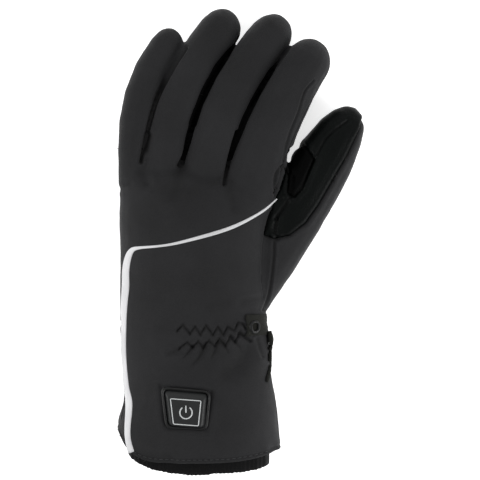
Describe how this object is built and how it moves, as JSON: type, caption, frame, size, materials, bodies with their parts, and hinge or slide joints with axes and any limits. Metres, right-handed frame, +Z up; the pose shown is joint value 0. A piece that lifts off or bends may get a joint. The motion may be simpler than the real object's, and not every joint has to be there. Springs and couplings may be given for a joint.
{
  "type": "heated glove",
  "caption": "Left padded winter glove with a heating control in the back of its long cuff, reflective piping, leather palm and wrist strap.",
  "frame": {"origin": "middle of the glove's footprint, on the surface that it lies on, palm down", "axes": "+Z up through the back of the hand, +Y from the cuff to the fingertips, +X to the thumb side"},
  "size_m": [0.149, 0.2788, 0.046],
  "materials": {
    "softshell": "matt charcoal softshell with a fine weave and a padded backing",
    "leather": "black-green synthetic leather with a fine grain and a low sheen",
    "knit": "black stretch knit",
    "reflective": "light grey reflective film piping",
    "lining": "black close-fitting inner cuff",
    "control_rubber": "soft matt moulded rubber with a light printed ring",
    "webbing": "black-olive woven webbing and hook tape"
  },
  "bodies": {
    "root": {"back_panel": "softshell", "cuff_back_panel": "softshell", "cuff_palm_panel": "softshell", "thumb_outer_panel": "softshell", "index_side_strip": "softshell", "palm_panel": "leather", "thumb_inner_panel": "leather", "fourchette_little_ring": "knit", "fourchette_ring_middle": "knit", "fourchette_middle_index": "knit", "reflective_piping": "reflective", "inner_cuff": "lining", "controller_frame": "control_rubber", "power_key": "control_rubber", "wrist_strap": "webbing", "strap_tab": "webbing"}
  },
  "joints": []
}
